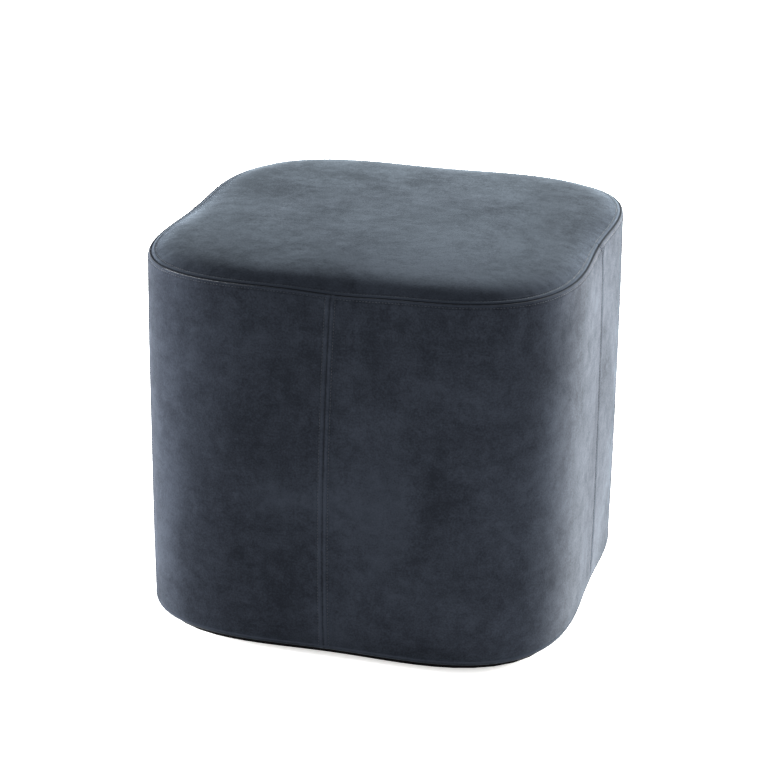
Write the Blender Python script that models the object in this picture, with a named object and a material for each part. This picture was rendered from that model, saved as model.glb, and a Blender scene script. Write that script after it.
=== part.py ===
"""Cube pouf stool, about 0.48 m wide and 0.42 m high: a filled block in a sewn velvet cover.

The cover is a crowned top panel and four side panels. Each side panel wraps one rounded corner of
the block. The four meet in upright seams at the middle of the sides, where the cover draws the
filling in. The side panels turn under at the foot, above a thin black board that stands on the
floor. The pieces are solid to the middle of the block and stop a hair short of each other.

The origin is on the floor under the middle of the stool. -Y is the front and +Z is up.
"""

from math import cos, exp, pi, sin

import bmesh
import bpy

# Driving dimensions, in metres.
WIDTH = 0.480               # across the block, before its seams draw it in
DEPTH = 0.487
HEIGHT = 0.418
SEAM_HEIGHT = 0.404
BASE_HEIGHT = 0.007
GAP = 0.0003

# The plan is a soft square: a power of 2 gives an ellipse, and higher ones squarer corners.
SQUARENESS = 3.6
DRAW_IN_FOOT = 0.030        # how far a seam is drawn in at the foot, as a share of the radius
DRAW_IN_TOP = 0.040         # and at the top seam
DRAW_IN_SPREAD = 0.46       # how far to each side of a seam it reaches, in radians

# The narrow crease where the two edges of an upright seam turn in.
CREASE_DEPTH = 0.003
CREASE_REACH = 0.003
CREASE_FADE = 30            # a high power ends the crease just inside the top panel's rim

# The upright outline of a side, from the foot to the top seam.
BELLY = 0.002
HEM_INSET = 0.005
HEM_ROUND = 0.009
SHOULDER_INSET = 0.005
SHOULDER_ROUND = 0.011
BASE_INSET = 0.012

# The crown of the top panel: flat in the middle and steep at the rim.
CROWN_POWER = 2.4
RIM_POWER = 2.0
RIM_SPACING = 1.6           # packs the crown's rings towards the rim
SMALLEST_RING = 0.08

# How finely the shapes are cut.
POINTS_PER_CORNER = 32
SEAM_CROWDING = 0.7         # packs the points of a corner towards its two seams
SIDE_LEVELS = 6
ROUND_LEVELS = 4
CROWN_LEVELS = 9

VELVET_BLUE = (0.052, 0.066, 0.090)
BASE_BLACK = (0.008, 0.008, 0.009)

# Which way each corner lies from the middle: its name, its side in X and its side in Y.
CORNERS = (
    ("front_left", -1, -1),
    ("front_right", 1, -1),
    ("back_right", 1, 1),
    ("back_left", -1, 1),
)


def clear_scene():
    """Remove every object, so the script can be run again in the same file."""
    for item in list(bpy.data.objects):
        bpy.data.objects.remove(item, do_unlink=True)


def surface(name, colour, roughness):
    """A plain dielectric finish in one colour."""
    material = bpy.data.materials.new(name)
    material.use_nodes = True
    shader = material.node_tree.nodes["Principled BSDF"]
    shader.inputs["Base Color"].default_value = (*colour, 1.0)
    shader.inputs["Roughness"].default_value = roughness
    shader.inputs["Metallic"].default_value = 0.0
    return material


def corner_angles():
    """The angles of one corner's points from seam to seam, closer together at the seams."""
    angles = []
    for step in range(POINTS_PER_CORNER + 1):
        share = step / POINTS_PER_CORNER
        angles.append(pi / 2 * (share - SEAM_CROWDING * sin(2 * pi * share) / (2 * pi)))
    return angles


def corner_point(angle, inset, height, crease=1.0):
    """A point of the outline in the +X +Y corner, moved inwards by the inset."""
    across, along = cos(angle), sin(angle)
    soft_square = (abs(across) ** SQUARENESS + abs(along) ** SQUARENESS) ** (-1 / SQUARENESS)
    from_seam = min(angle, pi / 2 - angle)
    draw_in = DRAW_IN_FOOT + (DRAW_IN_TOP - DRAW_IN_FOOT) * min(height / SEAM_HEIGHT, 1.0)
    reach = soft_square * (1 - draw_in * exp(-((from_seam / DRAW_IN_SPREAD) ** 2)))
    seam_distance = from_seam * WIDTH / 2
    inset += crease * CREASE_DEPTH * exp(-((seam_distance / CREASE_REACH) ** 2))
    return (reach * WIDTH / 2 - inset) * across, (reach * DEPTH / 2 - inset) * along


def whole_ring(inset, height, shrink=1.0, creased=True):
    """The closed outline of all four corners at one height. Its creases fade as it shrinks."""
    crease = shrink ** CREASE_FADE if creased else 0.0
    angles = corner_angles()[:-1]
    ring = []
    for quarter in range(4):
        for angle in angles:
            if quarter % 2:
                x, y = corner_point(pi / 2 - angle, inset, height, crease)
            else:
                x, y = corner_point(angle, inset, height, crease)
            side_x = 1 if quarter in (0, 3) else -1
            side_y = 1 if quarter in (0, 1) else -1
            ring.append((shrink * side_x * x, shrink * side_y * y, height))
    return ring


def corner_ring(side_x, side_y, inset, height):
    """The outline of one corner, closed through a point beside the stool's upright axis."""
    half_gap = GAP / 2
    ring = [(side_x * half_gap, side_y * half_gap, height)]
    for angle in corner_angles():
        x, y = corner_point(angle, inset, height)
        ring.append((side_x * max(x, half_gap), side_y * max(y, half_gap), height))
    return ring


def side_outline():
    """Insets and heights up a side: the turned-in hem, the faint belly and the shoulder."""
    foot = BASE_HEIGHT + GAP
    top = SEAM_HEIGHT - GAP / 2
    outline = []
    for level in range(ROUND_LEVELS):
        turn = pi / 2 * level / ROUND_LEVELS
        outline.append((HEM_INSET * (1 - sin(turn)), foot + HEM_ROUND * (1 - cos(turn))))
    low, high = foot + HEM_ROUND, top - SHOULDER_ROUND
    for level in range(SIDE_LEVELS + 1):
        share = level / SIDE_LEVELS
        bulge = BELLY * (1 - (2 * share - 1) ** 4)
        outline.append((-bulge, low + (high - low) * share))
    for level in range(1, ROUND_LEVELS + 1):
        turn = pi / 2 * level / ROUND_LEVELS
        outline.append((SHOULDER_INSET * (1 - cos(turn)), high + SHOULDER_ROUND * sin(turn)))
    return outline


def loft(name, rings, material):
    """A closed solid through level rings that each have the same number of points."""
    solid = bmesh.new()
    floor = solid.faces.new([solid.verts.new(point) for point in rings[0]])
    lid = floor
    for ring in rings[1:]:
        raised = bmesh.ops.extrude_face_region(solid, geom=[lid])
        if lid is not floor:
            bmesh.ops.delete(solid, geom=[lid], context="FACES_ONLY")
        lid = next(item for item in raised["geom"] if isinstance(item, bmesh.types.BMFace))
        for corner, point in zip(lid.verts, ring):
            corner.co = point
    bmesh.ops.recalc_face_normals(solid, faces=solid.faces)
    mesh = bpy.data.meshes.new(name)
    solid.to_mesh(mesh)
    solid.free()
    mesh.materials.append(material)
    mesh.shade_smooth()
    mesh.set_sharp_from_angle(angle=pi / 4)
    piece = bpy.data.objects.new(name, mesh)
    bpy.context.scene.collection.objects.link(piece)
    return piece


def side_panel(corner, side_x, side_y, velvet):
    """One corner of the filled block under its side panel."""
    rings = [corner_ring(side_x, side_y, inset, height) for inset, height in side_outline()]
    return loft(f"side_panel_{corner}", rings, velvet)


def top_panel(velvet):
    """The crowned top of the block, from the level of the top seam upwards."""
    seam = SEAM_HEIGHT + GAP / 2
    rings = []
    for level in range(CROWN_LEVELS + 1):
        share = 1 - (1 - SMALLEST_RING) * (level / CROWN_LEVELS) ** RIM_SPACING
        rise = (1 - share ** CROWN_POWER) ** (1 / RIM_POWER)
        ring = whole_ring(SHOULDER_INSET, seam, share)
        rings.append([(x, y, seam + (HEIGHT - seam) * rise) for x, y, _ in ring])
    return loft("top_panel", rings, velvet)


def base_board(black):
    """The thin board that the stool stands on."""
    rings = [whole_ring(BASE_INSET, height, creased=False) for height in (0.0, BASE_HEIGHT)]
    return loft("base_board", rings, black)


def main():
    clear_scene()
    velvet = surface("slate_blue_velvet", VELVET_BLUE, 0.85)
    black = surface("black_board", BASE_BLACK, 0.7)
    base_board(black)
    for corner, side_x, side_y in CORNERS:
        side_panel(corner, side_x, side_y, velvet)
    top_panel(velvet)


main()
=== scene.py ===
# %% [markdown]
# # A cube pouf stool in velvet
# The stool is a firm, soft-cornered block in a sewn velvet cover. A maker cuts a top panel and
# four side panels, joins them with topstitched seams, pulls the cover over the block and turns
# its hem under a thin black board. This lesson builds the same pieces round a finished frame.
# The frame holds each piece's size and place, so nothing here is measured twice.

# %% Load the frame
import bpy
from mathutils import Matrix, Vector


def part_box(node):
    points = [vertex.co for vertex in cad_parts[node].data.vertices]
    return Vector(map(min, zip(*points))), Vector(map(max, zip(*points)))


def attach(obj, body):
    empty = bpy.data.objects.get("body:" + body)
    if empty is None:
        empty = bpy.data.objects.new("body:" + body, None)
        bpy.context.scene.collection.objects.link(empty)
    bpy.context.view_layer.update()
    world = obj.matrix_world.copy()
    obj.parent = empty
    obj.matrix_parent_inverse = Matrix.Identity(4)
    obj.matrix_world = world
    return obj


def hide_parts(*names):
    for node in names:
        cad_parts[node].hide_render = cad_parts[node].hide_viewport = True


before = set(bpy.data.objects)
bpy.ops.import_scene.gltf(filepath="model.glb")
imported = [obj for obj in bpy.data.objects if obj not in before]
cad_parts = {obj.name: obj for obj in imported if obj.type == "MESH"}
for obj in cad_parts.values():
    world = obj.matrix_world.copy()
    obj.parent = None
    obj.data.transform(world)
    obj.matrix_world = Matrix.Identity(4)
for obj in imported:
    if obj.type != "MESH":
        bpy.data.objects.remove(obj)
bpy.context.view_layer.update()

# %% [markdown]
# ## Sizes from the frame
# The cover's own sizes are read from the frame's solids: where the sides start above the board,
# how high the top seam runs, and how far the block reaches. Reading them keeps the looks and
# the frame in step when the frame changes.

# %% Read the sizes
from math import cos, exp, pi, radians, sin, tau

import bmesh
import bpy
import numpy as np
from mathutils import Matrix, Vector
from mathutils.bvhtree import BVHTree

MM = 0.001
CORNERS = ("back_right", "back_left", "front_left", "front_right")
side_boxes = [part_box(f"side_panel_{corner}") for corner in CORNERS]
foot = min(low.z for low, high in side_boxes)
top_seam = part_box("top_panel")[0].z
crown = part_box("top_panel")[1].z
reach_x = max(high.x for low, high in side_boxes)
reach_y = max(high.y for low, high in side_boxes)
print("foot, seam and crown, mm:", [round(1000 * z, 1) for z in (foot, top_seam, crown)])

# %% [markdown]
# ## The plan of the block
# Seen from above, the block is a soft square. A superellipse gives that shape with one number:
# a power of 2 is an ellipse, and higher powers have squarer corners. Each upright seam pulls
# the side in at its middle, a little more at the top than at the foot, which a bell curve gives.
# The sides belly out by a hair between foot and seam, so half of that comes off the widths read.

# %% Plan of the block
SQUARENESS = 3.6
DRAW_IN_FOOT = 0.030
DRAW_IN_TOP = 0.040
DRAW_IN_SPREAD = 0.46
BELLY = 2 * MM


def reach(angle, height):
    """How far the cloth lies from the axis in one direction, as a share of the block's half."""
    square = (abs(cos(angle)) ** SQUARENESS + abs(sin(angle)) ** SQUARENESS) ** (-1 / SQUARENESS)
    from_seam = (angle + pi / 4) % (pi / 2) - pi / 4
    share_up = min(max((height - foot) / (top_seam - foot), 0.0), 1.0)
    draw_in = DRAW_IN_FOOT + (DRAW_IN_TOP - DRAW_IN_FOOT) * share_up
    return square * (1 - draw_in * exp(-((from_seam / DRAW_IN_SPREAD) ** 2)))


FINE_TURNS = 1441             # four to a degree, with the first one again at the end
turns = np.linspace(0, tau, FINE_TURNS)
widest = max(reach(turn, foot) * cos(turn) for turn in turns)
half_width, half_depth = (reach_x - BELLY / 2) / widest, (reach_y - BELLY / 2) / widest
print("block before its seams draw it in, mm:", round(2000 * half_width), round(2000 * half_depth))


def plan_point(angle, inset, height):
    """The place of the cloth in one direction, moved inwards by the inset."""
    share = reach(angle, height)
    return Vector(((share * half_width - inset) * cos(angle),
                   (share * half_depth - inset) * sin(angle), height))


# %% [markdown]
# ## Walking round the block by length
# Cloth is cut by length, not by angle, so columns of points should lie evenly along the cloth.
# A table of the outline's running length, read backwards, turns a distance into an angle.

# %% Distance round the block
MIDDLE = (foot + top_seam) / 2
outline = [plan_point(turn, 0, MIDDLE) for turn in turns]
steps = [(b - a).length for a, b in zip(outline, outline[1:])]
run = np.concatenate([[0.0], np.cumsum(steps)])
girth = float(run[-1])
panel_width = girth / 4
print("girth of the cover, mm:", round(1000 * girth))


def angle_at(distance):
    """The direction, in radians, at a distance round the cover from the middle of the +X side."""
    laps, rest = divmod(distance, girth)
    return float(np.interp(rest, run, turns)) + laps * tau


def crowd(share, strength):
    """Moves a share from 0 to 1 so that evenly spaced shares crowd together at both ends."""
    return share - strength * sin(tau * share) / tau


# %% [markdown]
# ## The upright outline of a side
# From the hem up, a side turns out from under the block, runs almost straight with a faint
# belly, and bends in over the block's top edge, where the top seam lies. The stretches are two
# quarters of an ellipse and a flat curve, sampled finely and read by their running length. The
# front seam was sewn a little tight, so it pulls the rim down by a few millimetres beside it.

# %% Upright outline
HEM_INSET, HEM_ROUND = 5 * MM, 9 * MM
SHOULDER_INSET, SHOULDER_ROUND = 5 * MM, 11 * MM


def side_outline(samples=40):
    """Insets and heights from the hem up to the top seam."""
    low, high = foot + HEM_ROUND, top_seam - SHOULDER_ROUND
    points = []
    for turn in np.linspace(0, pi / 2, samples):
        points.append((HEM_INSET * (1 - sin(turn)), foot + HEM_ROUND * (1 - cos(turn))))
    for share in np.linspace(0, 1, samples)[1:]:
        points.append((-BELLY * (1 - (2 * share - 1) ** 4), low + (high - low) * share))
    for turn in np.linspace(0, pi / 2, samples)[1:]:
        points.append((SHOULDER_INSET * (1 - cos(turn)), high + SHOULDER_ROUND * sin(turn)))
    return np.array(points)


upright = side_outline()
climb = np.concatenate([[0.0], np.cumsum(np.hypot(*np.diff(upright, axis=0).T))])
panel_height = float(climb[-1])
print("cut height of a side panel, mm:", round(1000 * panel_height))


DIP, DIP_REACH, DIP_FADE = 3.5 * MM, 48 * MM, 45 * MM
DIP_PLACE = 3 * panel_width + 8 * MM       # just past the front seam


def dip(distance, from_rim):
    """How far the front seam pulls the rim down, at a distance round the cover and off the rim."""
    beside = (distance - DIP_PLACE) / DIP_REACH
    return DIP * exp(-beside ** 2 - from_rim / DIP_FADE)


def side_point(distance, up):
    """The place of a side's cloth: a distance round the cover, and one up from the hem."""
    inset = float(np.interp(up, climb, upright[:, 0]))
    height = float(np.interp(up, climb, upright[:, 1]))
    place_there = plan_point(angle_at(distance), inset, height)
    place_there.z -= dip(distance, panel_height - up)
    return place_there


# %% [markdown]
# ## Side panels as flat cloth, then wrapped
# Each panel starts as a grid, the flat piece that is cut, and is then wrapped round its corner
# by moving the grid's points. The points crowd together at the edges, where the seams will need
# fine folds. Every point keeps how far across and how far up the cloth it is, in attributes.
# The front seam isn't quite upright on the real cover: it drifts a few millimetres to the left.
# The other three stray by less than a millimetre.

# %% Cut and wrap a side panel
COLUMNS, ROWS = 96, 110
EDGE_CROWDING, HEM_CROWDING = 0.85, 0.65
GAP = 0.1 * MM
FRONT_DRIFT, FRONT_BEND = 7.0 * MM, 2.2
STRAY, STRAY_BEND = 0.8 * MM, 5


def drift(seam, up):
    """How far a seam runs off its true line, round the cover, at one height."""
    share = up / panel_height
    if seam == 3:
        return -FRONT_DRIFT * sin(FRONT_BEND * (1 - share))
    return STRAY * sin(STRAY_BEND * share + 2 * seam)


def wrapped_panel(quarter):
    """An open sheet over one corner, between two upright seams."""
    sheet = bmesh.new()
    across = sheet.verts.layers.float.new("across")
    up = sheet.verts.layers.float.new("up")
    bmesh.ops.create_grid(sheet, x_segments=COLUMNS, y_segments=ROWS, size=0.5)
    for vert in sheet.verts:
        share_across = crowd(vert.co.x + 0.5, EDGE_CROWDING)
        share_up = crowd(vert.co.y + 0.5, HEM_CROWDING)
        vert[across] = GAP / 2 + share_across * (panel_width - GAP)
        vert[up] = share_up * (panel_height - GAP)
        start = drift(quarter, vert[up]) * (1 - share_across)
        end = drift((quarter + 1) % 4, vert[up]) * share_across
        distance = quarter * panel_width + vert[across] + start + end
        vert.co = side_point(distance, vert[up])
    return sheet


def as_object(mesh_data, name):
    """A bmesh made into an object at the origin, linked to the scene."""
    mesh = bpy.data.meshes.new(name)
    mesh_data.to_mesh(mesh)
    mesh_data.free()
    piece = bpy.data.objects.new(name, mesh)
    bpy.context.scene.collection.objects.link(piece)
    return piece


side_covers = []
for quarter, corner in enumerate(CORNERS):
    cover = as_object(wrapped_panel(quarter), f"side_cover_{corner}")
    side_covers.append(cover)
print("side panels:", len(side_covers), "of", len(side_covers[0].data.vertices), "points")

# %% [markdown]
# ## The top panel
# The top is a soft square too. From its seam it first slopes up as a narrow strip, the seam's
# turned edges held flat by stitching. Then the filling rolls it up, steeply for the first few
# millimetres, and it rises gently to the crown. It starts as a flat square grid. Each square
# ring of the grid becomes one soft-square ring of the top, so the corners of the cloth fall on
# the corners of the block and no point has too many edges.

# %% Cut and crown the top panel
TOP_CUTS = 150
STRIP, STRIP_SLOPE = 5.0 * MM, radians(20)
ROLL_SHARE, ROLL_REACH = 0.60, 11 * MM
CROWN_POWER, RIM_POWER = 2.4, 1.1
RIM_CROWDING = 1.9
NO_DISTANCE = 1e-6            # stands in for nought where it would divide


def top_outline(samples=400):
    """Shares of the rim's distance from the axis, and heights, from the seam to the crown."""
    fold_share = 1 - STRIP * cos(STRIP_SLOPE) / half_width
    fold_height = top_seam + GAP + STRIP * sin(STRIP_SLOPE)
    points = [(1.0, top_seam + GAP)]
    for step in np.linspace(0, 1, samples):
        share = 1 - step ** 2
        roll = 1 - exp(-(1 - share) * half_width / ROLL_REACH)
        rise = (1 - share ** CROWN_POWER) ** (1 / RIM_POWER)
        rise = ROLL_SHARE * roll + (1 - ROLL_SHARE) * rise
        points.append((share * fold_share, fold_height + (crown - fold_height) * rise))
    return np.array(points)


crown_line = top_outline()
crown_steps = np.hypot(np.diff(crown_line[:, 0]) * half_width, np.diff(crown_line[:, 1]))
inward_run = np.concatenate([[0.0], np.cumsum(crown_steps)])
top_reach = float(inward_run[-1])


def top_point(distance, inward):
    """The place of the top's cloth: a distance round the cover, and one inwards from the seam."""
    share = float(np.interp(inward, inward_run, crown_line[:, 0]))
    rim = plan_point(angle_at(distance), SHOULDER_INSET, top_seam)
    height = float(np.interp(inward, inward_run, crown_line[:, 1])) - dip(distance, inward)
    return Vector((share * rim.x, share * rim.y, height))


def crowned_panel():
    """An open-edged crown over the whole block."""
    sheet = bmesh.new()
    around = sheet.verts.layers.float.new("around")
    inward = sheet.verts.layers.float.new("inward")
    bmesh.ops.create_grid(sheet, x_segments=TOP_CUTS, y_segments=TOP_CUTS, size=1.0)
    for vert in sheet.verts:
        x, y = vert.co.xy
        ring = max(abs(x), abs(y), NO_DISTANCE)
        if abs(x) >= abs(y):
            eighth = y / ring if x > 0 else 4 - y / ring
        else:
            eighth = 2 - x / ring if y > 0 else 6 + x / ring
        vert[around] = girth * (eighth % 8) / 8
        vert[inward] = top_reach * (1 - ring) ** RIM_CROWDING
        vert.co = top_point(vert[around], vert[inward])
    return sheet


top_cover = as_object(crowned_panel(), "top_cover")
print("top panel:", len(top_cover.data.vertices), "points")

# %% [markdown]
# ## Filling the cover
# A cover pulled over foam is tight, but it still swells between its seams. The cloth solver
# gives that: the edges are pinned where they are sewn, air pressure pushes from inside, and the
# cloth is a touch small, so that it stays taut and puckers only near the stitching. Gravity is
# off, because the foam carries the cloth. Each point of a side may move by a few millimetres,
# and one of the top, which is smooth on the real stool, by half a millimetre.

# %% Swell the panels
SIDE_CAP, TOP_CAP = 2.4 * MM, 0.5 * MM
SWELL_START = 1.2 * MM        # how far inside its true place a panel's middle starts
SEWN_REACH = 7 * MM
FRAMES = 20
PRESSURE, SHRINK = 4.0, 0.004
CLOTH_MASS, STRETCH_STIFFNESS, BEND_STIFFNESS = 0.4, 18, 3.0


def carried(mesh, name):
    """The distances that the points of a mesh carry under one name."""
    found = np.empty(len(mesh.vertices), np.float32)
    mesh.attributes[name].data.foreach_get("value", found)
    return found


def edge_distance(mesh):
    """How far each point lies from the nearest sewn edge, along the cloth."""
    if "across" in mesh.attributes:
        across, up = carried(mesh, "across"), carried(mesh, "up")
        return np.minimum.reduce([across, panel_width - across, up, panel_height - up])
    return carried(mesh, "inward")


def positions(mesh):
    """The points of a mesh as rows of x, y and z."""
    found = np.empty(3 * len(mesh.vertices), np.float32)
    mesh.vertices.foreach_get("co", found)
    return found.reshape(-1, 3)


def normals(mesh):
    """The direction out of the cloth at each point of a mesh."""
    found = np.empty(3 * len(mesh.vertices), np.float32)
    mesh.vertex_normals.foreach_get("vector", found)
    return found.reshape(-1, 3)


def place(mesh, points):
    """Moves the points of a mesh."""
    mesh.vertices.foreach_set("co", np.ascontiguousarray(points, np.float32).ravel())
    mesh.update()


def swell(piece, cap):
    """Blows the cloth out between its sewn edges and keeps the result within the cap."""
    mesh = piece.data
    before = positions(mesh).astype(float)
    from_edge = edge_distance(mesh)
    inland = np.clip(from_edge / (10 * SEWN_REACH), 0, 1)
    place(mesh, before - normals(mesh) * (SWELL_START * inland)[:, None])
    sewn = piece.vertex_groups.new(name="sewn")
    sewn.add(np.flatnonzero(from_edge < SEWN_REACH).tolist(), 1.0, "REPLACE")
    cloth = piece.modifiers.new("filling", "CLOTH")
    settings = cloth.settings
    settings.quality = 5
    settings.mass = CLOTH_MASS
    settings.tension_stiffness = settings.compression_stiffness = STRETCH_STIFFNESS
    settings.bending_stiffness = BEND_STIFFNESS
    settings.use_pressure = True
    settings.uniform_pressure_force = PRESSURE
    settings.shrink_min = SHRINK
    settings.vertex_group_mass = "sewn"
    settings.effector_weights.gravity = 0.0
    cloth.collision_settings.use_collision = False
    cloth.point_cache.frame_start, cloth.point_cache.frame_end = 1, FRAMES
    for frame_number in range(1, FRAMES + 1):
        bpy.context.scene.frame_set(frame_number)
    view = bpy.context.evaluated_depsgraph_get()
    after = positions(piece.evaluated_get(view).data).astype(float)
    piece.modifiers.remove(cloth)
    piece.vertex_groups.remove(sewn)
    bpy.context.scene.frame_set(1)
    moved = after - before
    length = np.linalg.norm(moved, axis=1, keepdims=True) + 1e-9
    moved *= cap * np.tanh(length / cap) / length
    place(mesh, before + moved)
    return np.linalg.norm(moved, axis=1)


for cover in side_covers + [top_cover]:
    moves = swell(cover, TOP_CAP if cover is top_cover else SIDE_CAP)
    print(cover.name, "moved by up to", round(1000 * float(moves.max()), 2), "mm")

# %% [markdown]
# ## One subdivision
# The swollen cloth gets one smooth subdivision, which rounds it between its points and gives the
# seams enough of them. The modifier is applied, and the attributes come through with it.

# %% Subdivide
def subdivide(piece):
    """Applies one level of smooth subdivision."""
    finer = piece.modifiers.new("finer", "SUBSURF")
    finer.levels = finer.render_levels = 1
    view = bpy.context.evaluated_depsgraph_get()
    finished = bpy.data.meshes.new_from_object(piece.evaluated_get(view))
    piece.modifiers.remove(finer)
    piece.data = finished


for cover in side_covers + [top_cover]:
    subdivide(cover)
    print(cover.name, "has", len(cover.data.vertices), "points")

# %% [markdown]
# ## Seams
# At a topstitched seam the cloth makes the same fold everywhere: a narrow groove where the two
# edges turn in, a soft ridge where their turned allowances lie underneath, and a shallow trough
# where a row of stitches holds them down. Beyond the stitches the cloth puckers a little.
# The section of that fold is a sum of bell curves, and each point is moved along its normal.

# %% Fold the seams
GROOVE, GROOVE_REACH = 0.1 * MM, 0.8 * MM
RIDGE, RIDGE_PLACE, RIDGE_REACH = 0.42 * MM, 2.9 * MM, 1.6 * MM
TROUGH, ROW_PLACE, TROUGH_REACH = 0.3 * MM, 5.3 * MM, 0.8 * MM
PUCKER, PUCKER_REACH = 0.2 * MM, 14 * MM
WAVE_LENGTH = 17 * MM
RIM_ROW_PLACE = 4.9 * MM
SIDE_RIM_GROOVE, SIDE_RIM_RIDGE = 0.5 * MM, 0.5 * MM
TOP_RIM_GROOVE, TOP_RIM_RIDGE = 0.4 * MM, 0.3 * MM
NOTCH, NOTCH_WIDTH, NOTCH_REACH = 1.0 * MM, 1.5 * MM, 2.5 * MM
HEM_LINE, HEM_LINE_DEPTH = 9 * MM, 0.35 * MM
HEM_ROLL_PLACE, HEM_ROLL_SHARE, HEM_ROLL_REACH = 0.6 * HEM_LINE, 0.6, 2 * MM
HEM_FREE = 22 * MM            # the upright seams are pressed flat below this


def bell(distance, middle, width):
    """A soft bump of height 1 round one distance."""
    return np.exp(-(((distance - middle) / width) ** 2))


def seam_section(distance, row=ROW_PLACE, groove=GROOVE, ridge=RIDGE):
    """How far the cloth stands out at a distance from a seam's middle."""
    return (ridge * bell(distance, RIDGE_PLACE * row / ROW_PLACE, RIDGE_REACH)
            - groove * bell(distance, 0, GROOVE_REACH)
            - TROUGH * bell(distance, row, TROUGH_REACH))


def waves(along, seed, length):
    """A smooth uneven wave along a seam, from -1 to 1: three sines whose lengths never agree."""
    return (np.sin(tau * along / length + seed) * 0.5
            + np.sin(tau * along / (0.61 * length) + 2.3 * seed) * 0.3
            + np.sin(tau * along / (1.9 * length) + 0.7 * seed) * 0.35)


def puckered(distance, along, seed, row=ROW_PLACE):
    """Small puckers that start at the stitches and die away from the seam."""
    fade = np.exp(-np.maximum(distance - row, 0) / PUCKER_REACH)
    inside = np.clip(distance / row, 0, 1)
    return PUCKER * waves(along, seed, WAVE_LENGTH) * fade * inside


def fold_side(piece, quarter):
    """Sinks the seams round a side panel."""
    mesh = piece.data
    across, up = (carried(mesh, name).astype(float) for name in ("across", "up"))
    left, right, down = across, panel_width - across, panel_height - up
    relief = (seam_section(left) + seam_section(right)) * np.clip(up / HEM_FREE, 0, 1)
    relief += seam_section(down, RIM_ROW_PLACE, SIDE_RIM_GROOVE, SIDE_RIM_RIDGE)
    hem_roll = HEM_ROLL_SHARE * bell(up, HEM_ROLL_PLACE, HEM_ROLL_REACH)
    relief += HEM_LINE_DEPTH * (hem_roll - bell(up, HEM_LINE, MM))
    relief += puckered(left, up, 1.7 + quarter) + puckered(right, up, 4.1 + quarter)
    relief += 0.8 * puckered(down, across, 2.9 + quarter, RIM_ROW_PLACE)
    place(mesh, positions(mesh) + normals(mesh) * relief[:, None])


def fold_top(piece):
    """Sinks the seam round the top panel, its row of stitches and the notches at the seams."""
    mesh = piece.data
    inward = carried(mesh, "inward").astype(float)
    points = positions(mesh).astype(float)
    angle = np.arctan2(points[:, 1], points[:, 0])
    around = np.interp(np.mod(angle, tau), turns, run)
    from_upright = np.abs(np.mod(around + panel_width / 2, panel_width) - panel_width / 2)
    relief = seam_section(inward, RIM_ROW_PLACE, TOP_RIM_GROOVE, TOP_RIM_RIDGE)
    relief += 0.5 * puckered(inward, around, 0.4, RIM_ROW_PLACE)
    relief -= NOTCH * bell(from_upright, 0, NOTCH_WIDTH) * bell(inward, 0, NOTCH_REACH)
    place(mesh, points + normals(mesh) * relief[:, None])


for quarter, cover in enumerate(side_covers):
    fold_side(cover, quarter)
fold_top(top_cover)
section = seam_section(np.arange(9) * MM)
print("seam section at each millimetre, mm:", (1000 * section).round(2).tolist())

# %% [markdown]
# ## Closing the pieces
# A filled cushion is a closed body. The open edge of a side panel is drawn in to the upright
# axis of the block and welded there, which makes a quarter of the block, and the top panel's
# edge is filled flat across. What this makes is hidden inside. Each point's place on the flat
# cloth is written to a UV map, which the brush marks of the velvet will follow.

# %% Close the pieces
WELD = 0.05 * MM


def close(piece, quarter=None):
    """Turns an open cover into a closed solid with smooth cloth and sharp cut edges."""
    solid = bmesh.new()
    solid.from_mesh(piece.data)
    rim = [edge for edge in solid.edges if edge.is_boundary]
    for edge in rim:
        edge.smooth = False
    if quarter is None:
        bmesh.ops.edgeloop_fill(solid, edges=rim)
    else:
        drawn = bmesh.ops.extrude_edge_only(solid, edges=rim)["geom"]
        corner_way = pi / 4 + quarter * pi / 2
        axis = Vector((cos(corner_way), sin(corner_way), 0)) * GAP
        inner = [item for item in drawn if isinstance(item, bmesh.types.BMVert)]
        for vert in inner:
            vert.co = (axis.x, axis.y, vert.co.z)
        bmesh.ops.remove_doubles(solid, verts=inner, dist=WELD)
    bmesh.ops.recalc_face_normals(solid, faces=solid.faces)
    lay_flat(solid)
    for face in solid.faces:
        face.smooth = True
    solid.to_mesh(piece.data)
    solid.free()


def lay_flat(solid):
    """Writes each point's place on the flat cloth, in metres, as the piece's UV map."""
    flat = solid.loops.layers.uv.new("cloth")
    across = solid.verts.layers.float.get("across")
    up = solid.verts.layers.float.get("up")
    for face in solid.faces:
        for loop in face.loops:
            vert = loop.vert
            loop[flat].uv = (vert[across], vert[up]) if across else vert.co.xy


for quarter, cover in enumerate(side_covers):
    close(cover, quarter)
close(top_cover)
print("closed:", [cover.name for cover in side_covers + [top_cover]])

# %% [markdown]
# ## Topstitching
# Thread shows as a row of short raised stitches each side of every seam. One stitch is a tiny
# bead: a sphere with few faces, stretched along the row and half sunk in its trough. A row walks
# along its seam by the stitch length, and asks the finished cloth for the place and direction
# out of it, so the thread follows every pucker. All the rows of a kind are joined in one mesh.

# %% Sew the rows
STITCH, STITCH_GAP = 2.4 * MM, 1.0 * MM
THREAD = 0.48 * MM
RAISED = 0.1 * THREAD         # how far a stitch's middle stands off the cloth
ROW_START, ROW_END = 3 * MM, 10 * MM
SEAM_CLEAR = 2 * MM


def cloth_tree(piece):
    """A search tree of a piece's faces."""
    found = bmesh.new()
    found.from_mesh(piece.data)
    tree = BVHTree.FromBMesh(found)
    found.free()
    return tree


trees = {cover.name: cloth_tree(cover) for cover in side_covers + [top_cover]}


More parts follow.
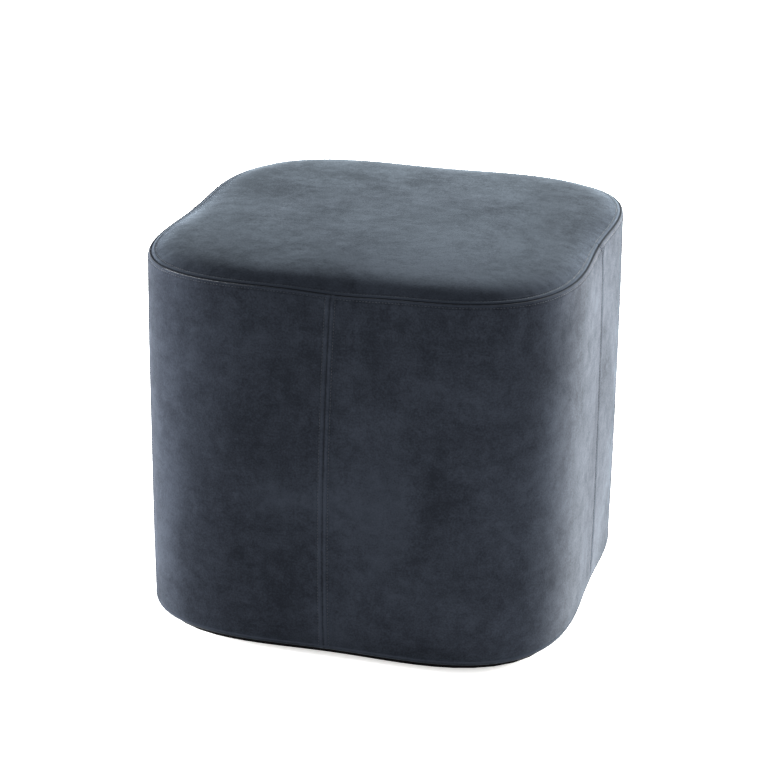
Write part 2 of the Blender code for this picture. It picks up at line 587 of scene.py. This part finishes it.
def add_stitch(thread, piece, start, end):
    """One stitch on the cloth between two points near it."""
    middle, out, _, _ = trees[piece.name].find_nearest((start + end) / 2)
    along = (end - start).normalized()
    out = (out - along * out.dot(along)).normalized()
    turn = Matrix((along, out.cross(along), out)).transposed().to_4x4()
    size = Matrix.Diagonal((STITCH / 2, THREAD / 2, THREAD / 2, 1))
    where = Matrix.Translation(middle + out * RAISED)
    bmesh.ops.create_uvsphere(thread, u_segments=6, v_segments=4, radius=1.0,
                              matrix=where @ turn @ size)


def sew(piece, route, length):
    """A row of stitches along a route, which gives a point for each distance."""
    thread = bmesh.new()
    pitch = STITCH + STITCH_GAP
    for number in range(int(length / pitch)):
        start = number * pitch + STITCH_GAP / 2
        add_stitch(thread, piece, route(start), route(start + STITCH))
    row = bpy.data.meshes.new("row")
    thread.to_mesh(row)
    thread.free()
    return row


def upright_route(quarter, from_left):
    """Distances down a side panel's row, beside its left or right seam."""
    def route(distance):
        up = panel_height - ROW_START - distance
        across = ROW_PLACE if from_left else panel_width - ROW_PLACE
        share = across / panel_width
        run_off = drift(quarter, up) * (1 - share) + drift((quarter + 1) % 4, up) * share
        return side_point(quarter * panel_width + across + run_off, up)
    return route


def finished_thread(rows, name):
    """Joins the rows into one smooth object."""
    thread = bmesh.new()
    for row in rows:
        thread.from_mesh(row)
        bpy.data.meshes.remove(row)
    piece = as_object(thread, name)
    piece.data.shade_smooth()
    print(name, "has", len(piece.data.polygons), "faces")
    return piece


def rim_route(point_at, start):
    """Places along a rim row, from a start round the cover."""
    return lambda distance: point_at(start + distance)


def side_rim(distance):
    """The row under the rim, on the side panels."""
    return side_point(distance, panel_height - RIM_ROW_PLACE)


def top_rim(distance):
    """The row above the rim, on the top panel."""
    return top_point(distance % girth, RIM_ROW_PLACE)


upright_rows = [sew(cover, upright_route(quarter, from_left), panel_height - ROW_END)
                for quarter, cover in enumerate(side_covers) for from_left in (True, False)]
rim_rows = []
for quarter, cover in enumerate(side_covers):
    start = quarter * panel_width + SEAM_CLEAR
    for piece, point_at in ((cover, side_rim), (top_cover, top_rim)):
        rim_rows.append(sew(piece, rim_route(point_at, start), panel_width - 2 * SEAM_CLEAR))
upright_stitches = finished_thread(upright_rows, "upright_seam_stitches")
rim_stitches = finished_thread(rim_rows, "rim_seam_stitches")

# %% [markdown]
# ## Shader maths as Python
# A velvet finish is mostly arithmetic on noise. One small class wraps a socket and overloads
# the operators, so an expression such as 1 - mask adds its Math nodes by itself. Every other
# node comes from one method, which takes its type, its settings and its sockets. Every finish
# starts from one Principled shader, and may mix in a second one.

# %% A small language for materials
class Signal:
    """An output socket that can be used in arithmetic."""

    def __init__(self, finish, socket):
        self.finish, self.socket = finish, socket

    def maths(self, operation, first, second):
        return self.finish.node("ShaderNodeMath", {"operation": operation}, {0: first, 1: second})

    def __add__(self, other):
        return self.maths("ADD", self, other)

    def __sub__(self, other):
        return self.maths("SUBTRACT", self, other)

    def __rsub__(self, other):
        return self.maths("SUBTRACT", other, self)

    def __mul__(self, other):
        return self.maths("MULTIPLY", self, other)

    __radd__ = __add__
    __rmul__ = __mul__

    def near(self, middle, width):
        """1 where the signal is at the middle, falling evenly to 0 at a width from it."""
        away = self.maths("ABSOLUTE", self - middle, 0.0)
        return self.maths("MAXIMUM", 1 - away * (1 / width), 0.0)


class Finish:
    """A material being built round one Principled shader."""

    def __init__(self, name, **constants):
        self.material = bpy.data.materials.new(name)
        self.material.use_nodes = True
        self.tree = self.material.node_tree
        self.shader = self.tree.nodes["Principled BSDF"]
        for socket, value in constants.items():
            self.shader.inputs[socket.replace("_", " ")].default_value = value

    def node(self, kind, settings=None, sockets=None, output=0):
        made = self.tree.nodes.new(kind)
        for name, value in (settings or {}).items():
            if name == "stops":
                for element, (at, level) in zip(made.color_ramp.elements, value):
                    element.position, element.color = at, (level, level, level, 1)
            else:
                setattr(made, name, value)
        for name, value in (sockets or {}).items():
            if isinstance(value, Signal):
                self.tree.links.new(value.socket, made.inputs[name])
            else:
                made.inputs[name].default_value = value
        return Signal(self, made.outputs[output])

    def noise(self, scale, detail=2.0, rough=0.5, twist=0.0, turn=0.0, on_cloth=False):
        """Soft noise from 0 to 1. Its scale is in features per metre along each axis."""
        where = self.node("ShaderNodeTexCoord", output="UV" if on_cloth else "Object")
        spread = self.node("ShaderNodeMapping", None, {
            "Vector": where, "Scale": scale, "Rotation": (0, 0, turn)})
        return self.node("ShaderNodeTexNoise", None, {
            "Vector": spread, "Scale": 1.0, "Detail": detail,
            "Roughness": rough, "Distortion": twist})

    def measure(self, name):
        """A distance that the cloth's points carry, in metres."""
        return self.node("ShaderNodeAttribute", {"attribute_name": name}, output="Fac")

    def blend(self, share, first, second):
        """Mixes two colours by a share."""
        return self.node("ShaderNodeMix", {"data_type": "RGBA"},
                         {0: share, 6: (*first, 1), 7: (*second, 1)}, output=2)

    def feed(self, socket, signal):
        self.tree.links.new(signal.socket, self.shader.inputs[socket])

    def second_shader(self, share, **constants):
        """Adds another Principled shader and mixes it with the first by a share."""
        second = self.tree.nodes.new("ShaderNodeBsdfPrincipled")
        for socket, value in constants.items():
            second.inputs[socket.replace("_", " ")].default_value = value
        mixed = self.tree.nodes.new("ShaderNodeMixShader")
        self.tree.links.new(share.socket, mixed.inputs[0])
        self.tree.links.new(self.shader.outputs[0], mixed.inputs[1])
        self.tree.links.new(second.outputs[0], mixed.inputs[2])
        output = self.tree.nodes["Material Output"]
        self.tree.links.new(mixed.outputs[0], output.inputs["Surface"])
        return second


# %% [markdown]
# ## Velvet
# Velvet is dark where one looks straight into its pile and pale where one looks along it. The
# shader's sheen does that by itself. What a hand adds is nap: clouds where the pile lies another
# way, and brush marks along the cloth. Pile that leans away from the eye looks darker and
# catches less light at its edge, so the velvet is two shaders, and the nap mixes them. A weak
# bump tilts the surface a little where the nap changes. The seams' light and shade are painted
# into the nap too: painted shade in the seam itself, and painted highlights over the turned
# edges beside it. The distances that the cloth's points carry say where that is.

# %% The velvet
DOWN_SLATE, UP_SLATE = (0.0082, 0.0098, 0.0132, 1), (0.0185, 0.0222, 0.0300, 1)
DOWN_SHEEN, UP_SHEEN, PILE_SPREAD = 0.055, 0.115, 0.34
# The top's bluer sheen tint is painted light: it stands in for how the light falls on the top.
SIDE_TINT, TOP_PAINTED_TINT = (0.90, 0.95, 1.0, 1), (0.72, 0.86, 1.0, 1)
NAP_DOWN, NAP_UP = 0.40, 0.61         # the marks at which the pile lies all down or all up
NAP_BUMP, CROSSING = 0.35, radians(24)
PAINTED_LIGHT_FRONTWARD, PAINTED_LIGHT_RIGHTWARD = 0.28, 0.25     # how much the top's nap rises for each metre, a painted gradient of light: lighter to the front and right


# Painted highlights where the sewing raises the cloth: how far from the edge, how wide, and how
# much the nap rises.
SEAM_HIGHLIGHT_PLACE, SEAM_HIGHLIGHT_WIDTH, SEAM_HIGHLIGHT = 2.6 * MM, 2.4 * MM, 0.09
RIM_HIGHLIGHT_PLACE, RIM_HIGHLIGHT_WIDTH, RIM_HIGHLIGHT = 2.4 * MM, 1.6 * MM, 0.26
HEM_HIGHLIGHT_PLACE, HEM_HIGHLIGHT_WIDTH, HEM_HIGHLIGHT = 7 * MM, 1.6 * MM, 0.18
STRIP_HIGHLIGHT_PLACE, STRIP_HIGHLIGHT_WIDTH, STRIP_HIGHLIGHT = 2.9 * MM, 2.3 * MM, 0.45
# Painted shade in the seams and the rim: how wide, and how much the nap falls.
SEAM_SHADE_WIDTH, SEAM_SHADE = MM, 0.1
RIM_SHADE_WIDTH, SIDE_RIM_SHADE, TOP_RIM_SHADE = 1.2 * MM, 0.5, 0.6


def side_painted_light(finish):
    """Painted light on a side: the nap rises for painted highlights beside its upright seams,
    under its rim and above its hem, and falls for painted shade in its seams and rim.
    """
    across, up = finish.measure("across"), finish.measure("up")
    beside_seams = (across.near(SEAM_HIGHLIGHT_PLACE, SEAM_HIGHLIGHT_WIDTH)
                    + across.near(panel_width - SEAM_HIGHLIGHT_PLACE, SEAM_HIGHLIGHT_WIDTH))
    below_rim = up.near(panel_height - RIM_HIGHLIGHT_PLACE, RIM_HIGHLIGHT_WIDTH)
    above_hem = up.near(HEM_HIGHLIGHT_PLACE, HEM_HIGHLIGHT_WIDTH)
    in_seams = across.near(0.0, SEAM_SHADE_WIDTH) + across.near(panel_width, SEAM_SHADE_WIDTH)
    in_rim = up.near(panel_height, RIM_SHADE_WIDTH)
    # Painted highlights beside the seams, under the rim and above the hem, less painted shade in
    # the seams and the rim.
    return (beside_seams * SEAM_HIGHLIGHT + below_rim * RIM_HIGHLIGHT + above_hem * HEM_HIGHLIGHT
            - in_seams * SEAM_SHADE - in_rim * SIDE_RIM_SHADE)


def top_painted_light(finish):
    """Painted light on the top: a painted highlight on its strip, painted shade in its rim's seam,
    and a painted gradient of light across it, lighter to the front and right.
    """
    inward = finish.measure("inward")
    on_strip = inward.near(STRIP_HIGHLIGHT_PLACE, STRIP_HIGHLIGHT_WIDTH)
    in_rim = inward.near(0.0, RIM_SHADE_WIDTH)
    centred = finish.node("ShaderNodeTexCoord", output="Object")
    x, y = (finish.node("ShaderNodeSeparateXYZ", None, {0: centred}, output=axis) for axis in "XY")
    # A painted gradient of light across the top, a painted highlight on the strip, and painted
    # shade in the rim's seam.
    return (x * PAINTED_LIGHT_RIGHTWARD - y * PAINTED_LIGHT_FRONTWARD + on_strip * STRIP_HIGHLIGHT - in_rim * TOP_RIM_SHADE)


def velvet(name, tint, painted_light):
    """The velvet of one panel, with the sheen tint given for it. The top's bluer tint is painted
    light, for how the light falls on the top.
    """
    pile_looks = {"Roughness": 0.85, "Sheen_Roughness": PILE_SPREAD, "Sheen_Tint": tint,
                  "Specular_IOR_Level": 0.0}
    finish = Finish(name, Base_Color=DOWN_SLATE, Sheen_Weight=DOWN_SHEEN, **pile_looks)
    clouds = finish.noise((8, 8, 8), 6.0, 0.6, 0.7)
    mottle = finish.noise((70, 70, 70), 4.0, 0.65, 0.5)
    brushed = finish.noise((14, 120, 1), 2.0, 0.5, 0.3, on_cloth=True)
    crossed = finish.noise((70, 12, 1), 2.0, 0.5, 0.3, CROSSING, on_cloth=True)
    pile = finish.noise((520, 520, 520), 2.0, 0.6)
    marks = clouds * 0.40 + mottle * 0.24 + brushed * 0.05 + crossed * 0.03 + pile * 0.28
    # The nap also carries the painted highlights and painted shade of the seams, and on the top a
    # painted gradient of light.
    nap = finish.node("ShaderNodeValToRGB", {"stops": [(NAP_DOWN, 0.0), (NAP_UP, 1.0)]},
                      {0: marks + painted_light(finish)})
    lean = clouds * 1.2 + mottle * 0.25 + brushed * 0.1 + pile * 0.10
    bump = finish.node("ShaderNodeBump", None, {
        "Strength": NAP_BUMP, "Distance": MM, "Height": lean})
    raised = finish.second_shader(nap, Base_Color=UP_SLATE, Sheen_Weight=UP_SHEEN, **pile_looks)
    for shader in (finish.shader, raised):
        finish.tree.links.new(bump.socket, shader.inputs["Normal"])
    return finish.material


# The top's copy of the velvet differs from the sides' by its painted sheen tint and its painted
# light.
side_velvet = velvet("slate_velvet_side", SIDE_TINT, side_painted_light)
top_velvet = velvet("slate_velvet_top", TOP_PAINTED_TINT, top_painted_light)
for cover in side_covers + [top_cover]:
    cover.data.materials.clear()
    cover.data.materials.append(top_velvet if cover is top_cover else side_velvet)
print("velvet nodes:", len(side_velvet.node_tree.nodes))

# %% [markdown]
# ## Thread and board
# The thread is the cloth's own blue, a little paler and smoother. The board under the hem is
# black and matt, with a fine felted surface. It is the frame's own piece with a better finish.

# %% Thread and board
THREAD_DARK, THREAD_PALE = (0.012, 0.0145, 0.019), (0.026, 0.030, 0.038)
FELT_DARK, FELT_PALE = (0.0015, 0.0015, 0.002), (0.005, 0.005, 0.0055)


def thread_finish():
    """Twisted thread, a little uneven along its length."""
    finish = Finish("slate_thread", Roughness=0.6, Specular_IOR_Level=0.2)
    twist = finish.noise((1500, 1500, 1500), 1.0)
    finish.feed("Base Color", finish.blend(twist, THREAD_DARK, THREAD_PALE))
    return finish.material


def board_finish():
    """Black felted board."""
    finish = Finish("black_board", Roughness=0.85, Specular_IOR_Level=0.05)
    felt = finish.noise((700, 700, 700), 3.0, 0.6)
    finish.feed("Base Color", finish.blend(felt, FELT_DARK, FELT_PALE))
    finish.feed("Normal", finish.node("ShaderNodeBump", None, {
        "Strength": 0.4, "Distance": 0.0005, "Height": felt}))
    return finish.material


thread_look = thread_finish()
for stitches in (upright_stitches, rim_stitches):
    stitches.data.materials.append(thread_look)
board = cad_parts["base_board"]
board.data.materials.clear()
board.data.materials.append(board_finish())
print("materials:", [material.name for material in bpy.data.materials])

# %% [markdown]
# ## Joining the pieces to the frame
# Every piece rides on the frame's one body. Each cover stands for its plain solid, which is
# hidden. The covers are padded: firm, but still cloth over a filling.

# %% Join to the frame
for corner, cover in zip(CORNERS, side_covers):
    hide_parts(f"side_panel_{corner}")
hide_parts("top_panel")
for piece in side_covers + [top_cover, upright_stitches, rim_stitches]:
    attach(piece, "root")
print("joined pieces:", len(side_covers) + 3)

# %% [markdown]
# ## Studio
# A white floor and white surroundings, and three large soft lights that stand low: two behind
# the stool on the right, and a flatter one on the left that hardly reaches the top. Being low,
# they rake along the cloth, which lights the velvet's edges and leaves the front dark. A
# catalogue picture is lit until its floor burns out to white. A faint glow in the floor does the
# same here, and it keeps only the last of the contact shadow.

# %% Floor and lights
FLOOR_WHITE, GLOW_WHITE, FLOOR_GLOW = (0.93, 0.93, 0.93, 1), (1.0, 0.99, 0.97, 1), 0.50
SKY_WHITE, SKY_STRENGTH = (1.0, 1.0, 1.0, 1), 1.05
LIGHT_DISTANCE, LIGHT_WIDTH = 2.8, 1.4
LEFT_HEIGHT = 0.8
PLAIN, WARM = (1, 1, 1), (1.0, 0.99, 0.94)

floor_mesh = bmesh.new()
bmesh.ops.create_grid(floor_mesh, x_segments=1, y_segments=1, size=12)
floor = as_object(floor_mesh, "floor")
floor_white = Finish("floor_white", Base_Color=FLOOR_WHITE, Roughness=0.9,
                     Emission_Color=GLOW_WHITE, Emission_Strength=FLOOR_GLOW)
floor.data.materials.append(floor_white.material)

surroundings = bpy.data.worlds.new("studio")
bpy.context.scene.world = surroundings
surroundings.use_nodes = True
background = surroundings.node_tree.nodes["Background"]
background.inputs["Color"].default_value = SKY_WHITE
background.inputs["Strength"].default_value = SKY_STRENGTH


def soft_light(name, direction, elevation, watts, tall=LIGHT_WIDTH, colour=PLAIN):
    """A large flat light that faces the stool, from a direction in degrees round from +X."""
    lamp = bpy.data.lights.new(name, "AREA")
    lamp.shape, lamp.size, lamp.size_y, lamp.energy = "RECTANGLE", LIGHT_WIDTH, tall, watts
    lamp.color = colour
    light = bpy.data.objects.new(name, lamp)
    middle = Vector((0, 0, crown / 2))
    turn, rise = radians(direction), radians(elevation)
    way = Vector((cos(turn) * cos(rise), sin(turn) * cos(rise), sin(rise)))
    light.location = middle + LIGHT_DISTANCE * way
    light.rotation_euler = (-way).to_track_quat("-Z", "Y").to_euler()
    bpy.context.scene.collection.objects.link(light)


soft_light("low_left", 175, 3, 700, tall=LEFT_HEIGHT)
soft_light("low_right", 46, 5, 830, colour=WARM)
soft_light("back_right", 60, 8, 420)
print("lights:", [item.name for item in bpy.data.lights])

# %% [markdown]
# ## Camera
# The camera looks down a little from the front right, from far enough that the sides stay
# nearly upright. It leans by less than a degree.

# %% Camera
AZIMUTH, ELEVATION, LEAN = radians(15.23), radians(21.60), radians(0.71)
DISTANCE, LENS, SENSOR = 2.587, 109.1, 36.0
AIM, SHIFT = Vector((0, 0, 0.2032)), (-0.0090, 0.0193)

back = Vector((sin(AZIMUTH) * cos(ELEVATION), -cos(AZIMUTH) * cos(ELEVATION), sin(ELEVATION)))
right = Vector((cos(AZIMUTH), sin(AZIMUTH), 0))
above = back.cross(right)
turned_right = right * cos(LEAN) + above * sin(LEAN)
turned_above = above * cos(LEAN) - right * sin(LEAN)
camera_data = bpy.data.cameras.new("camera")
camera_data.lens, camera_data.sensor_width = LENS, SENSOR
camera_data.shift_x, camera_data.shift_y = SHIFT
camera = bpy.data.objects.new("camera", camera_data)
turned = Matrix((turned_right, turned_above, back)).transposed().to_4x4()
camera.matrix_world = Matrix.Translation(AIM + back * DISTANCE) @ turned
bpy.context.scene.collection.objects.link(camera)
bpy.context.scene.camera = camera
bpy.context.scene.view_settings.view_transform = "Standard"
